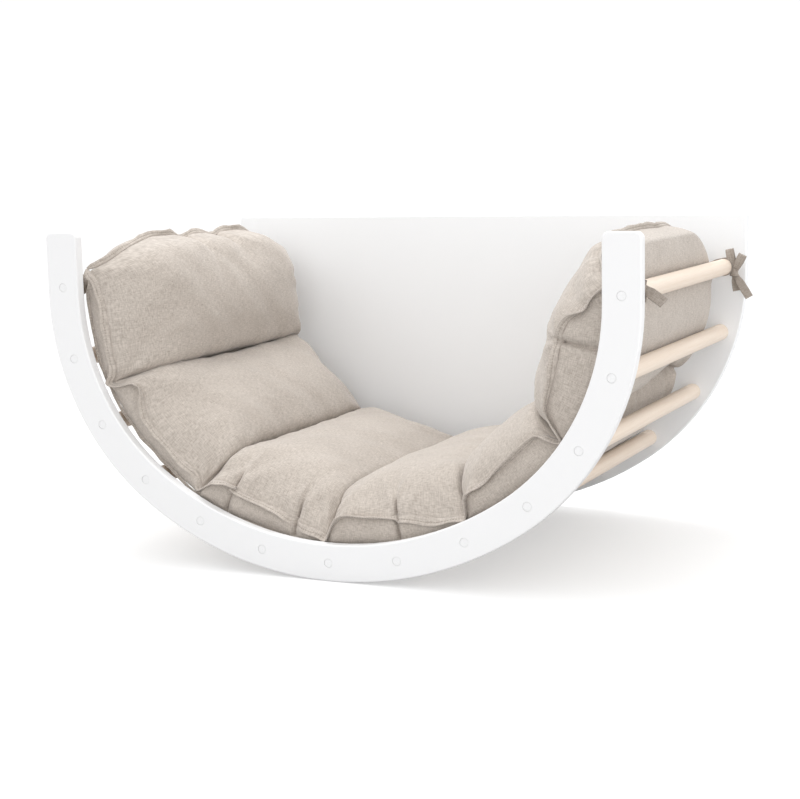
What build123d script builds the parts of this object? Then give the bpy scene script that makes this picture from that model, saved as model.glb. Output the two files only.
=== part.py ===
from build123d import *
import math
import os

# Rocking arch with a tied-in mattress. Lengths in millimetres, angles in degrees.
# X runs along the arch, Y across it (the open side faces -Y), Z up. The origin is on the floor
# under the middle of the arch.

# Side panels
LENGTH = 1000.0              # overall length of each panel
CURVE_DEPTH = 438.0          # height of the curved part of the outline
STRAIGHT_RISE = 100.0        # upright part above the curve
BOTTOM_HALF_ANGLE = 34.2     # half the angle of the flatter arc that rocks on the floor
RING_WIDTH = 58.0            # width of the open arch's ring
PANEL_THICKNESS = 18.0
LIMB_CORNER_RADIUS = 10.0    # corners of the open arch's two upper ends
BOARD_CORNER_RADIUS = 4.0    # upper corners of the closed board
EDGE_ROUND = 2.5             # round-over of the panels' edges

# Rungs
RUNG_COUNT = 13
RUNG_DIAMETER = 28.0
RUNG_LENGTH = 610.0          # clear width between the two panels
RUNG_END_ROUND = 2.5
TOP_RUNG_DROP = 89.0         # from the panels' top down to the top rungs' axes, along the outline

# Screws and their caps, one at each end of each rung
SHANK_DIAMETER = 6.0
SHANK_LENGTH = 62.0
HEAD_DIAMETER = 11.0
HEAD_HEIGHT = 3.5
COUNTERBORE_DIAMETER = 14.0
COUNTERBORE_DEPTH = 7.0
CAP_RECESS = 0.3             # the cap's face lies this far under the panel's face
CAP_EDGE_CHAMFER = 0.6
SCREW_CLEARANCE = 0.1        # radial, round shank, head and cap

# Mattress: stuffed chambers, named from -X to +X, sewn to each other at cross seams
CHAMBERS = (
    "cushion_left_top",
    "cushion_left_lower",
    "cushion_seat_left",
    "cushion_seat_right",
    "cushion_right_lower",
    "cushion_right_top",
)
MATTRESS_END_DROP = 18.0     # from the panels' top down to the mattress's ends
SEAM_SHIFT = -12.0           # the inner seams lie this far towards -X along the curve
MATTRESS_FRONT_GAP = 6.0     # behind the open arch
MATTRESS_REAR_GAP = 56.0     # in front of the closed board
SEAM_HEIGHT = 80.0           # two neighbouring chambers press on each other up to here
CROWN_HEIGHT = 108.0         # thickness at the middle of a chamber
CROWN_EDGE_ROUND = 24.0
SOFT_CLEARANCE = 0.3         # between fabric and what it lies against

# Ties: one at each corner of the mattress, tied round a top rung. Each loop and tail of a bow has a
# length and a lean from straight up, positive away from the arch.
TIE_WIDTH = 13.0
TIE_THICKNESS = 2.0
KNOT_SIZE = 12.0
KNOT_ROUND = 3.0
KNOT_BITE = 1.0              # the knot is pulled this far into the band round the rung
TIE_GAP = 26.0               # from a panel's inner face to the middle of a tie
LOOP_THICKNESS = 6.0
REAR_LOOPS = ((40.0, -12.0), (33.0, 26.0))
REAR_TAILS = ((32.0, 172.0), (50.0, 148.0))
FRONT_LOOPS = ((38.0, -6.0), (33.0, 186.0))
FRONT_TAILS = ((34.0, 172.0), (34.0, 115.0))

# Sizes that follow
half_length = LENGTH / 2
top = CURVE_DEPTH + STRAIGHT_RISE
sweep = math.radians(BOTTOM_HALF_ANGLE)
radius_step = (half_length - CURVE_DEPTH) / (math.sin(sweep) + math.cos(sweep) - 1)
side_radius = half_length - radius_step * math.sin(sweep)
bottom_radius = side_radius + radius_step
side_centre = half_length - side_radius
rung_radius = RUNG_DIAMETER / 2
rung_inset = RING_WIDTH / 2
seat_inset = rung_inset + rung_radius + SOFT_CLEARANCE
front_inner = -RUNG_LENGTH / 2
rear_inner = RUNG_LENGTH / 2
front_face = front_inner - PANEL_THICKNESS
rear_face = rear_inner + PANEL_THICKNESS
mattress_front = front_inner + MATTRESS_FRONT_GAP
mattress_rear = rear_inner - MATTRESS_REAR_GAP


def arc_lengths(inset):
    """Lengths of half the bottom arc and of a side arc of the outline moved in by inset."""
    return (bottom_radius - inset) * sweep, (side_radius - inset) * (math.pi / 2 - sweep)


def frame_at(distance, inset):
    """Point and outward unit normal, each as (x, z), at a distance from the bottom along the outline."""
    bottom, side = arc_lengths(inset)
    reach = abs(distance)
    sign = math.copysign(1, distance)
    if reach <= bottom:
        turn = reach / (bottom_radius - inset)
        centre, radius = (0, bottom_radius), bottom_radius - inset
    elif reach <= bottom + side:
        turn = sweep + (reach - bottom) / (side_radius - inset)
        centre, radius = (side_centre, CURVE_DEPTH), side_radius - inset
    else:
        turn = math.pi / 2
        centre, radius = (side_centre, CURVE_DEPTH + reach - bottom - side), side_radius - inset
    normal = (sign * math.sin(turn), -math.cos(turn))
    return (sign * centre[0] + radius * normal[0], centre[1] + radius * normal[1]), normal


def raised(distance, inset, height):
    """Point (x, z) on the outline's normal, the given height inside the outline moved in by inset."""
    point, normal = frame_at(distance, inset)
    return point[0] - height * normal[0], point[1] - height * normal[1]


def outline_path(start, end, inset):
    """Edges that follow the outline moved in by inset, from one distance to another."""
    bottom, side = arc_lengths(inset)
    joints = (-bottom - side, -bottom, bottom, bottom + side)
    stops = [start] + [joint for joint in joints if start < joint < end] + [end]
    path = []
    for low, high in zip(stops, stops[1:]):
        middle = (low + high) / 2
        points = [frame_at(stop, inset)[0] for stop in (low, middle, high)]
        if abs(middle) > bottom + side:
            path.append(Line(points[0], points[2]))
        else:
            path.append(ThreePointArc(*points))
    return path


def outline_face(inset, rise):
    """Flat face inside the outline moved in by inset, cut off level at a height above the curve."""
    reach = sum(arc_lengths(inset)) + rise
    ends = [frame_at(distance, inset)[0] for distance in (reach, -reach)]
    return make_face(outline_path(-reach, reach, inset) + [Line(*ends)])


def slab(face, low, high):
    """Solid between the planes y = low and y = high with a face drawn in (x, z)."""
    return extrude(Plane.XZ.offset(-high) * face, amount=high - low)


def rung_frames():
    """Each rung's axis as a point (x, z) with the outward normal there, from -X to +X."""
    reach = sum(arc_lengths(rung_inset)) + STRAIGHT_RISE - TOP_RUNG_DROP
    spacing = 2 * reach / (RUNG_COUNT - 1)
    return [frame_at(-reach + i * spacing, rung_inset) for i in range(RUNG_COUNT)]


def rod(place, low, high, radius):
    """Round rod along Y between two heights on Y, at a place (x, z)."""
    middle = (low + high) / 2
    return Pos(place[0], middle, place[1]) * Rot(90, 0, 0) * Cylinder(radius, abs(high - low))


def round_panel(panel, corner_radius):
    """Round a panel's two or four upper corners, then every edge of its two faces."""
    corners = panel.edges().filter_by(Axis.Y).group_by(Axis.Z)[-1]
    panel = fillet(corners, corner_radius)
    return fillet(panel.faces().filter_by(Axis.Y).edges(), EDGE_ROUND)


def drilled(panel, low, high, outer, inward):
    """Drill a panel for the screws, with a counterbore in its outer face for each cap."""
    seat = outer + inward * COUNTERBORE_DEPTH
    holes = []
    for place, _ in rung_frames():
        holes.append(rod(place, low, high, SHANK_DIAMETER / 2 + SCREW_CLEARANCE))
        holes.append(rod(place, outer, seat, COUNTERBORE_DIAMETER / 2))
    return panel - holes


def front_arch():
    """The open side panel: a ring cut off level at the top."""
    ring = outline_face(0, STRAIGHT_RISE) - outline_face(RING_WIDTH, STRAIGHT_RISE + RING_WIDTH)
    panel = round_panel(slab(ring, front_face, front_inner), LIMB_CORNER_RADIUS)
    return drilled(panel, front_face, front_inner, front_face, 1)


def rear_board():
    """The closed side panel: the same outline with no opening."""
    panel = round_panel(slab(outline_face(0, STRAIGHT_RISE), rear_inner, rear_face), BOARD_CORNER_RADIUS)
    return drilled(panel, rear_inner, rear_face, rear_face, -1)


def rung(place):
    """One round rung with rounded ends and a pilot hole in each end."""
    body = rod(place, front_inner, rear_inner, rung_radius)
    body = fillet(body.edges().filter_by(GeomType.CIRCLE), RUNG_END_ROUND)
    depth = SHANK_LENGTH - (PANEL_THICKNESS - COUNTERBORE_DEPTH) + SCREW_CLEARANCE
    bore = SHANK_DIAMETER / 2 + SCREW_CLEARANCE
    return body - [
        rod(place, front_inner, front_inner + depth, bore),
        rod(place, rear_inner, rear_inner - depth, bore),
    ]


def screw(place, outer, inward):
    """A screw with its head on the floor of its counterbore, pointing inward."""
    seat = outer + inward * COUNTERBORE_DEPTH
    back = seat - inward * HEAD_HEIGHT
    shank = rod(place, back, seat + inward * SHANK_LENGTH, SHANK_DIAMETER / 2)
    return shank + rod(place, back, seat, HEAD_DIAMETER / 2)


def screw_cap(place, outer, inward):
    """A cap that fills the counterbore over a screw's head."""
    base = outer + inward * (COUNTERBORE_DEPTH - HEAD_HEIGHT)
    face = outer + inward * CAP_RECESS
    cap = rod(place, base, face, COUNTERBORE_DIAMETER / 2 - SCREW_CLEARANCE)
    rims = cap.edges().filter_by(GeomType.CIRCLE).sort_by(Axis.Y)
    return chamfer(rims[0] if inward > 0 else rims[-1], CAP_EDGE_CHAMFER)


def seam_distances():
    """Distances along the seat curve of the mattress's ends and of its cross seams."""
    reach = sum(arc_lengths(seat_inset)) + STRAIGHT_RISE - MATTRESS_END_DROP
    pitch = 2 * reach / len(CHAMBERS)
    inner = [-reach + i * pitch + SEAM_SHIFT for i in range(1, len(CHAMBERS))]
    return [-reach] + inner + [reach]


def chamber(start, end):
    """One stuffed chamber: it follows the rungs below, is crowned above and flat where it is sewn."""
    left = raised(start, seat_inset, SEAM_HEIGHT)
    right = raised(end, seat_inset, SEAM_HEIGHT)
    crown = raised((start + end) / 2, seat_inset, CROWN_HEIGHT)
    path = outline_path(start, end, seat_inset) + [
        Line(frame_at(end, seat_inset)[0], right),
        ThreePointArc(right, crown, left),
        Line(left, frame_at(start, seat_inset)[0]),
    ]
    body = slab(make_face(path), mattress_front, mattress_rear)
    upper = []
    for side in body.faces().filter_by(Axis.Y):
        upper.append(side.edges().sort_by_distance((crown[0], side.center().Y, crown[1]))[0])
    return fillet(upper, CROWN_EDGE_ROUND)


def bow(loops, tails):
    """A knot with two loops and two tails, beside a rung whose axis is the Y axis."""
    reach = rung_radius + SOFT_CLEARANCE + TIE_THICKNESS + KNOT_SIZE / 2 - KNOT_BITE
    knot = Box(KNOT_SIZE, KNOT_SIZE, KNOT_SIZE)
    knot = fillet(knot.edges(), KNOT_ROUND)
    for strips, thickness in ((loops, LOOP_THICKNESS), (tails, TIE_THICKNESS)):
        for length, lean in strips:
            strip = Pos(0, 0, length / 2) * Box(TIE_WIDTH, thickness, length)
            knot += Rot(0, lean, 0) * strip
    return Pos(reach, 0, 0) * knot


def band():
    """The fabric band round a rung whose axis is the Y axis."""
    inner = rung_radius + SOFT_CLEARANCE
    ring = Cylinder(inner + TIE_THICKNESS, TIE_WIDTH) - Cylinder(inner, TIE_WIDTH)
    return Rot(90, 0, 0) * ring


def front_tie():
    """A tie under the mattress: its band ends on both sides of the rung, where it is sewn on."""
    under = 2 * (rung_radius + TIE_THICKNESS)
    cut = Pos(-rung_radius - under / 2, 0, 0) * Box(under, under, 2 * under)
    return Pos(0, front_inner + TIE_GAP, 0) * (band() - cut + bow(FRONT_LOOPS, FRONT_TAILS))


def rear_tie():
    """A tie past the mattress's edge: a strap runs from the mattress's side to the band."""
    middle = rear_inner - TIE_GAP
    start = mattress_rear + SOFT_CLEARANCE
    depth = rung_radius + SOFT_CLEARANCE + TIE_THICKNESS / 2
    strap = Pos(-depth, (start + middle) / 2, 0) * Box(TIE_THICKNESS, middle - start, TIE_WIDTH)
    return Pos(0, middle, 0) * (band() + bow(REAR_LOOPS, REAR_TAILS)) + strap


def on_top_rung(tie):
    """Move a tie from the Y axis to the top rung at the +X end."""
    place, normal = rung_frames()[-1]
    up = (-normal[1], 0, normal[0])
    return Plane((place[0], 0, place[1]), x_dir=(normal[0], 0, normal[1]), z_dir=up) * tie


def write(node, *shapes):
    """Write one node, as a group where it has several solids."""
    export_step(shapes[0] if len(shapes) == 1 else Compound(children=shapes), f"parts/{node}.step")


def main():
    os.makedirs("parts", exist_ok=True)
    write("front_arch", front_arch())
    write("rear_board", rear_board())
    places = [place for place, _ in rung_frames()]
    for number, place in enumerate(places, 1):
        write(f"rung_{number:02d}", rung(place))
    for side, outer, inward in (("front", front_face, 1), ("rear", rear_face, -1)):
        write(f"{side}_screws", *[screw(place, outer, inward) for place in places])
        write(f"{side}_screw_caps", *[screw_cap(place, outer, inward) for place in places])
    seams = seam_distances()
    for node, start, end in zip(CHAMBERS, seams, seams[1:]):
        write(node, chamber(start, end))
    for side, tie in (("front", front_tie()), ("rear", rear_tie())):
        right = on_top_rung(tie)
        write(f"tie_right_{side}", right)
        write(f"tie_left_{side}", mirror(right, Plane.YZ))


main()
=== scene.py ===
"""Looks of a rocking arch cradle: painted panels, wooden rungs and a stuffed linen mattress tied inside."""
import logging
import math
from dataclasses import dataclass, field
from enum import Enum
from typing import Callable, Sequence

import bmesh
import bpy
import numpy as np
from mathutils import Matrix, Vector


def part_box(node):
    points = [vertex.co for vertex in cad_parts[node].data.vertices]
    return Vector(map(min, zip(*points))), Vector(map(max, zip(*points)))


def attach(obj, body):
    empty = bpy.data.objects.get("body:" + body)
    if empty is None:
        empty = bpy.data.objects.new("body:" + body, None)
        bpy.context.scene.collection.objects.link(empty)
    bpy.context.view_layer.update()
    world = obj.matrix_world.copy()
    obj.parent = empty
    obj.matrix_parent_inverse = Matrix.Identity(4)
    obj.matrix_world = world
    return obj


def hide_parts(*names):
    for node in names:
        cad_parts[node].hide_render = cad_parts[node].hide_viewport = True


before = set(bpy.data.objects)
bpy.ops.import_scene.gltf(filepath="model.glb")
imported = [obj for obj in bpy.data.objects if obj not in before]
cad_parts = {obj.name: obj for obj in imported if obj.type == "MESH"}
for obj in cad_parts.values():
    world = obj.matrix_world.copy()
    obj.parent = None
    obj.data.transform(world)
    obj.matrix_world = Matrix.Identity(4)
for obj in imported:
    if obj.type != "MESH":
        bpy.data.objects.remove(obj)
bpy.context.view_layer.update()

LOG = logging.getLogger("cradle")
BODY = "root"
Colour = tuple[float, float, float]
Socket = bpy.types.NodeSocket


class Slot(Enum):
    """Names of the record's material slots for the sewn pieces."""

    LINEN = "mattress_linen"
    TIE = "tie_linen"


# ---------------------------------------------------------------------------------------------
# Shader building blocks
# ---------------------------------------------------------------------------------------------


class Graph:
    """A node tree with short calls for adding and wiring its nodes."""

    def __init__(self, tree: bpy.types.NodeTree) -> None:
        """Wrap a tree.

        Args:
            tree: the material's or the group's node tree.
        """
        self.tree = tree

    def add(self, kind: str, inputs: dict | None = None, **settings: object) -> bpy.types.Node:
        """Add a node.

        Args:
            kind: the node's type without its "ShaderNode" prefix.
            inputs: values or sockets for the node's inputs, by name or by number.
            settings: the node's own properties.

        Returns:
            The new node.
        """
        node = self.tree.nodes.new("ShaderNode" + kind)
        for name, value in settings.items():
            setattr(node, name, value)
        self.wire(node, inputs or {})
        return node

    def wire(self, node: bpy.types.Node, inputs: dict) -> None:
        """Feed several of a node's inputs, by name or by number."""
        for name, value in inputs.items():
            self.feed(node.inputs[name], value)

    def feed(self, socket: Socket, value: object) -> None:
        """Link a socket to an input, or set the input's own value."""
        if isinstance(value, bpy.types.NodeSocket):
            self.tree.links.new(value, socket)
        else:
            socket.default_value = value

    def math(self, operation: str, *values: object) -> Socket:
        """Add a math node and return its result."""
        node = self.add("Math", dict(enumerate(values)), operation=operation)
        return node.outputs[0]

    def stretch(self, where: Socket, factors: tuple[float, float, float]) -> Socket:
        """Scale a place by a factor along each axis."""
        return self.add("VectorMath", {0: where, 1: factors}, operation="MULTIPLY").outputs[0]

    def noise(self, where: Socket, scale: float, detail: float = 2.0, rough: float = 0.5) -> Socket:
        """Add a noise texture and return its value from 0 to 1."""
        inputs = {"Vector": where, "Scale": scale, "Detail": detail, "Roughness": rough}
        return self.add("TexNoise", inputs).outputs["Fac"]

    def ramp(self, value: Socket, low: float, high: float, start: float = 0.0, end: float = 1.0) -> Socket:
        """Map a value from low..high to start..end, smoothly and clamped."""
        inputs = {"Value": value, "From Min": low, "From Max": high, "To Min": start, "To Max": end}
        return self.add("MapRange", inputs, interpolation_type="SMOOTHSTEP").outputs["Result"]

    def mix(self, share: object, first: object, second: object) -> Socket:
        """Mix two colours."""
        node = self.add("Mix", data_type="RGBA")
        for place, value in ((0, share), (6, first), (7, second)):
            self.feed(node.inputs[place], value)
        return node.outputs[2]

    def bump(self, height: Socket, strength: float, distance: float, under: Socket | None = None) -> Socket:
        """Add a bump node.

        Args:
            height: the relief from 0 to 1.
            strength: how much of the relief shows.
            distance: the relief's depth in metres.
            under: the normal that it is laid over, if it is not the surface's own.

        Returns:
            The bumped normal.
        """
        inputs = {"Height": height, "Strength": strength, "Distance": distance}
        if under is not None:
            inputs["Normal"] = under
        return self.add("Bump", inputs).outputs["Normal"]


def rgba(colour: Colour) -> tuple[float, float, float, float]:
    """Give a colour its full alpha."""
    return (*colour, 1.0)


def new_material(name: str) -> tuple[bpy.types.Material, Graph, bpy.types.Node]:
    """Make an empty material.

    Args:
        name: the material's name.

    Returns:
        The material, its graph and its principled shader.
    """
    material = bpy.data.materials.new(name)
    material.use_nodes = True
    return material, Graph(material.node_tree), material.node_tree.nodes["Principled BSDF"]


class Effect:
    """A shader node group with named inputs and outputs, built once."""

    def __init__(self, name: str, inputs: dict[str, float | None], outputs: Sequence[str]) -> None:
        """Make the group and its sockets.

        Args:
            name: the group's name.
            inputs: each input's start value, or None for a vector.
            outputs: names of the values that the group puts out.
        """
        self.tree = bpy.data.node_groups.new(name, "ShaderNodeTree")
        for label, value in inputs.items():
            kind = "NodeSocketVector" if value is None else "NodeSocketFloat"
            socket = self.tree.interface.new_socket(label, in_out="INPUT", socket_type=kind)
            if value is not None:
                socket.default_value = value
        for label in outputs:
            self.tree.interface.new_socket(label, in_out="OUTPUT", socket_type="NodeSocketFloat")
        self.graph = Graph(self.tree)
        self.given = self.tree.nodes.new("NodeGroupInput").outputs
        self.result = self.tree.nodes.new("NodeGroupOutput").inputs

    def put(self, label: str, value: Socket) -> None:
        """Wire a value to one of the group's outputs."""
        self.graph.feed(self.result[label], value)

    def place(self, graph: Graph, **inputs: object) -> bpy.types.NodeOutputs:
        """Place the group in a material.

        Args:
            graph: the material's graph.
            inputs: values or sockets for the group's inputs.

        Returns:
            The placed group's outputs.
        """
        node = graph.tree.nodes.new("ShaderNodeGroup")
        node.node_tree = self.tree
        for label, value in inputs.items():
            graph.feed(node.inputs[label], value)
        return node.outputs


@dataclass(frozen=True)
class Weave:
    """Plain weave with slubs; scales are in features per metre of cloth."""

    wobble_scale: float = 90.0
    wobble: float = 0.0016
    along_thread: float = 85.0
    across_thread: float = 780.0
    blotch_scale: float = 260.0
    drift_scale: float = 14.0
    drift: float = 0.35
    fold_scale: float = 26.0
    fold_width: float = 0.16

    def make(self) -> Effect:
        """Make the effect: thread height and shade, a heathered tint and soft creases."""
        outputs = ("Height", "Shade", "Heather", "Crumple")
        effect = Effect("plain_weave", {"Cloth": None, "Pitch": 0.001, "Slub": 1.0}, outputs)
        g, given = effect.graph, effect.given
        cloth = given["Cloth"]
        parts = g.add("SeparateXYZ", {0: cloth}).outputs
        wobble = g.math("MULTIPLY", g.noise(cloth, self.wobble_scale), self.wobble)
        waves = []
        for axis in (0, 1):
            turns = g.math("DIVIDE", g.math("ADD", parts[axis], wobble), given["Pitch"])
            waves.append(g.math("SINE", g.math("MULTIPLY", turns, math.pi)))
        effect.put("Height", g.math("MULTIPLY_ADD", g.math("MULTIPLY", *waves), 0.5, 0.5))
        streaks = []
        pairs = (self.along_thread, self.across_thread)
        for along, across in (pairs, pairs[::-1]):
            streaks.append(g.noise(g.stretch(cloth, (along, across, 1.0)), 1.0, 3.0, 0.65))
        threads = g.math("MULTIPLY", g.math("ADD", *streaks), 0.5)
        slubs = g.math("MULTIPLY", g.math("SUBTRACT", threads, 0.5), given["Slub"])
        effect.put("Shade", g.math("ADD", slubs, 0.5))
        blotches = g.math("MULTIPLY", g.noise(cloth, self.blotch_scale, 3.0, 0.6), 1 - self.drift)
        effect.put("Heather", g.math("MULTIPLY_ADD", g.noise(cloth, self.drift_scale), self.drift, blotches))
        folds = g.math("SUBTRACT", g.noise(cloth, self.fold_scale, 3.0, 0.55), 0.5)
        effect.put("Crumple", g.ramp(g.math("ABSOLUTE", folds), self.fold_width, 0.0))
        return effect


@dataclass(frozen=True)
class Grain:
    """Straight wood grain along Y; each stretch is how much slower the grain changes along Y."""

    ring_stretch: float = 0.06
    bend_scale: float = 22.0
    bend: float = 0.02
    tilt: float = 0.6
    fibre_stretch: float = 0.018
    fibre_scale: float = 1500.0
    pore_stretch: float = 0.12
    pore_scale: float = 1100.0

    def make(self) -> Effect:
        """Make the effect: growth rings, fine fibres and short pores."""
        effect = Effect("straight_grain", {"Place": None, "Ring": 0.006}, ("Rings", "Fibres", "Pores"))
        g, given = effect.graph, effect.given
        long_way = g.stretch(given["Place"], (1.0, self.ring_stretch, 1.0))
        bend = g.math("MULTIPLY", g.noise(long_way, self.bend_scale), self.bend)
        parts = g.add("SeparateXYZ", {0: long_way}).outputs
        across = g.math("ADD", g.math("ADD", parts[0], g.math("MULTIPLY", parts[2], self.tilt)), bend)
        turns = g.math("DIVIDE", across, given["Ring"])
        wave = g.math("SINE", g.math("MULTIPLY", turns, 2 * math.pi))
        effect.put("Rings", g.math("MULTIPLY_ADD", wave, 0.5, 0.5))
        fibre_place = g.stretch(given["Place"], (1.0, self.fibre_stretch, 1.0))
        effect.put("Fibres", g.noise(fibre_place, self.fibre_scale, 3.0, 0.6))
        pore_place = g.stretch(given["Place"], (1.0, self.pore_stretch, 1.0))
        effect.put("Pores", g.ramp(g.noise(pore_place, self.pore_scale, 1.0), 0.66, 0.74))
        return effect


@dataclass(frozen=True)
class RubbedEdges:
    """Rubbed edges and handling marks."""

    sharp: float = 0.90
    flat: float = 0.995
    break_scale: float = 60.0
    mark_scale: float = 5.0

    def make(self) -> Effect:
        """Make the effect: a mask that is high on convex edges, and slow blotches."""
        effect = Effect("rubbed_edges", {"Place": None, "Width": 0.003}, ("Edge", "Marks"))
        g, given = effect.graph, effect.given
        soft = g.add("Bevel", {"Radius": given["Width"]}, samples=4).outputs[0]
        sharp = g.add("NewGeometry").outputs["Normal"]
        agree = g.add("VectorMath", {0: soft, 1: sharp}, operation="DOT_PRODUCT").outputs["Value"]
        bare = g.ramp(agree, self.flat, self.sharp)
        broken = g.ramp(g.noise(given["Place"], self.break_scale, 3.0), 0.35, 0.65)
        effect.put("Edge", g.math("MULTIPLY", bare, g.math("MULTIPLY_ADD", broken, 0.7, 0.3)))
        effect.put("Marks", g.noise(given["Place"], self.mark_scale, 3.0))
        return effect


@dataclass(frozen=True)
class PaintFinish:
    """Sprayed satin paint on board, with a faint orange peel and softened edges."""

    colour: Colour = (0.80, 0.80, 0.805)
    edge_colour: Colour = (0.74, 0.735, 0.72)
    mark_colour: Colour = (0.62, 0.62, 0.62)
    edge_width: float = 0.003
    edge_share: float = 0.5
    roughness: float = 0.42
    specular: float = 0.4
    peel: float = 0.06
    peel_depth: float = 0.0002

    def make(self, name: str, edges: Effect) -> bpy.types.Material:
        """Make the material.

        Args:
            name: the material's name.
            edges: the shared rubbed edge effect.

        Returns:
            The finished material.
        """
        material, graph, shader = new_material(name)
        place = graph.add("TexCoord").outputs["Object"]
        worn = edges.place(graph, Place=place, Width=self.edge_width)
        tone = graph.ramp(worn["Marks"], 0.2, 0.8, 0.975, 1.0)
        edge = graph.math("MULTIPLY", worn["Edge"], self.edge_share)
        base = graph.mix(edge, rgba(self.colour), rgba(self.edge_colour))
        rough = (self.roughness - 0.05, self.roughness + 0.07)
        peel = graph.math("ADD", graph.noise(place, 420.0, 2.0), graph.noise(place, 1500.0, 1.0))
        graph.wire(shader, {
            "Base Color": graph.mix(tone, rgba(self.mark_colour), base),
            "Roughness": graph.ramp(graph.noise(place, 30.0, 3.0), 0.2, 0.8, *rough),
            "Specular IOR Level": self.specular,
            "Normal": graph.bump(peel, self.peel, self.peel_depth),
        })
        return material


@dataclass(frozen=True)
class WoodFinish:
    """Sanded pale hardwood under a thin matt oil, with grain along the rung."""

    pale: Colour = (0.80, 0.69, 0.585)
    dark: Colour = (0.66, 0.52, 0.40)
    ring: float = 0.0052
    ring_share: float = 0.20
    fibre_share: float = 0.22
    pore_share: float = 0.28
    edge_width: float = 0.002
    edge_share: float = 0.25
    roughness: float = 0.48
    relief: float = 0.12
    relief_depth: float = 0.0002

    def make(self, name: str, grain: Effect, edges: Effect) -> bpy.types.Material:
        """Make the material.

        Args:
            name: the material's name.
            grain: the shared wood grain effect.
            edges: the shared rubbed edge effect.

        Returns:
            The finished material.
        """
        material, graph, shader = new_material(name)
        place = graph.add("TexCoord").outputs["Object"]
        wood = grain.place(graph, Place=place, Ring=self.ring)
        lines = graph.math("MULTIPLY", wood["Rings"], self.ring_share)
        share = graph.math("ADD", lines, graph.ramp(wood["Fibres"], 0.35, 0.75, 0.0, self.fibre_share))
        share = graph.math("ADD", share, graph.math("MULTIPLY", wood["Pores"], self.pore_share))
        worn = edges.place(graph, Place=place, Width=self.edge_width)
        base = graph.mix(share, rgba(self.pale), rgba(self.dark))
        handled = graph.math("MULTIPLY", worn["Edge"], self.edge_share)
        rough = (self.roughness - 0.06, self.roughness + 0.08)
        height = graph.math("SUBTRACT", wood["Fibres"], graph.math("MULTIPLY", wood["Pores"], 0.8))
        graph.wire(shader, {
            "Base Color": graph.mix(handled, base, rgba(self.dark)),
            "Roughness": graph.ramp(wood["Fibres"], 0.2, 0.8, *rough),
            "Normal": graph.bump(height, self.relief, self.relief_depth),
        })
        return material


@dataclass(frozen=True)
class LinenFinish:
    """Heathered linen: a plain weave of uneven threads with a soft sheen and faint creases."""

    light: Colour = (0.585, 0.527, 0.472)
    dark: Colour = (0.335, 0.293, 0.255)
    pitch: float = 0.0011
    slub: float = 1.7
    shade_share: float = 0.66
    heather_share: float = 0.26
    thread_share: float = 0.06
    roughest: float = 0.95
    smoothest: float = 0.84
    specular: float = 0.2
    relief: float = 0.35
    relief_depth: float = 0.0004
    sheen: float = 0.25
    sheen_roughness: float = 0.55
    crumple: float = 0.15
    crumple_depth: float = 0.0022

    def make(self, name: str, weave: Effect) -> bpy.types.Material:
        """Make the material.

        Args:
            name: the material's name.
            weave: the shared weave effect.

        Returns:
            The finished material.
        """
        material, graph, shader = new_material(name)
        cloth = graph.add("UVMap", uv_map="cloth").outputs["UV"]
        threads = weave.place(graph, Cloth=cloth, Pitch=self.pitch, Slub=self.slub)
        shade = graph.math("MULTIPLY", graph.ramp(threads["Shade"], 0.30, 0.70), self.shade_share)
        heather = graph.ramp(threads["Heather"], 0.32, 0.68)
        share = graph.math("MULTIPLY_ADD", heather, self.heather_share, shade)
        share = graph.math("MULTIPLY_ADD", threads["Height"], self.thread_share, share)
        slubs = graph.math("MULTIPLY", threads["Shade"], 1.5)
        relief = graph.math("MULTIPLY_ADD", threads["Height"], 0.5, slubs)
        soft = graph.bump(threads["Crumple"], self.crumple, self.crumple_depth)
        graph.wire(shader, {
            "Base Color": graph.mix(share, rgba(self.dark), rgba(self.light)),
            "Roughness": graph.ramp(threads["Shade"], 0.0, 1.0, self.roughest, self.smoothest),
            "Specular IOR Level": self.specular,
            "Sheen Weight": self.sheen,
            "Sheen Roughness": self.sheen_roughness,
            "Normal": graph.bump(relief, self.relief, self.relief_depth, soft),
        })
        return material


@dataclass(frozen=True)
class PlainFinish:
    """Moulded plastic, zinc-plated steel or sewing thread: one tone with fine surface texture."""

    colour: Colour
    roughness: float
    metallic: float = 0.0
    texture: float = 900.0
    relief: float = 0.1
    relief_depth: float = 0.0002
    dulling: float = 0.82

    def make(self, name: str) -> bpy.types.Material:
        """Make the material.

        Args:
            name: the material's name.

        Returns:
            The finished material.
        """
        material, graph, shader = new_material(name)
        fine = graph.noise(graph.add("TexCoord").outputs["Object"], self.texture, 3.0)
        dull = tuple(self.dulling * part for part in self.colour)
        graph.wire(shader, {
            "Base Color": graph.mix(fine, rgba(dull), rgba(self.colour)),
            "Roughness": graph.ramp(fine, 0.2, 0.8, self.roughness - 0.08, self.roughness + 0.08),
            "Metallic": self.metallic,
            "Normal": graph.bump(fine, self.relief, self.relief_depth),
        })
        return material


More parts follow.
